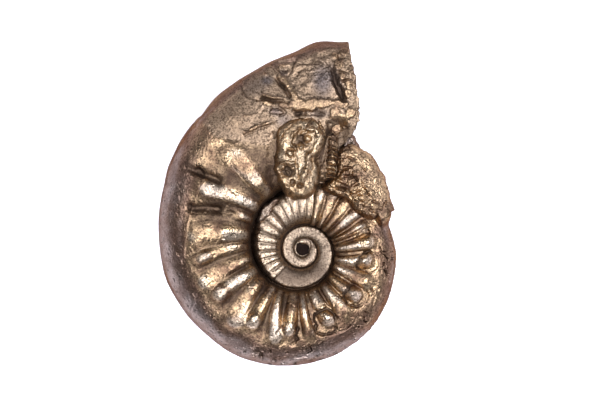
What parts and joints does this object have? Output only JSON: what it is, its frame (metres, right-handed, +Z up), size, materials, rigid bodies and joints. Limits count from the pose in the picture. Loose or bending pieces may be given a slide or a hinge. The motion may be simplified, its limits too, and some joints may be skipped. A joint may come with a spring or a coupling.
{
  "type": "ammonite fossil",
  "caption": "Pyritised ammonite fossil lying flat: a coiled ribbed shell with a broken mouth and a crystal crust where a piece of the whorl is lost.",
  "frame": {"origin": "centre of the footprint, on the resting plane", "axes": "+Z up, near the coil axis; +Y towards the broken mouth, as the picture shows it; +X to the picture's right"},
  "size_m": [0.0262, 0.0356, 0.0119],
  "materials": {
    "tarnished_pyrite": "natural pyrite with a bronze tarnish, polished by handling"
  },
  "bodies": {
    "root": {"ammonite": "tarnished_pyrite"}
  },
  "joints": []
}
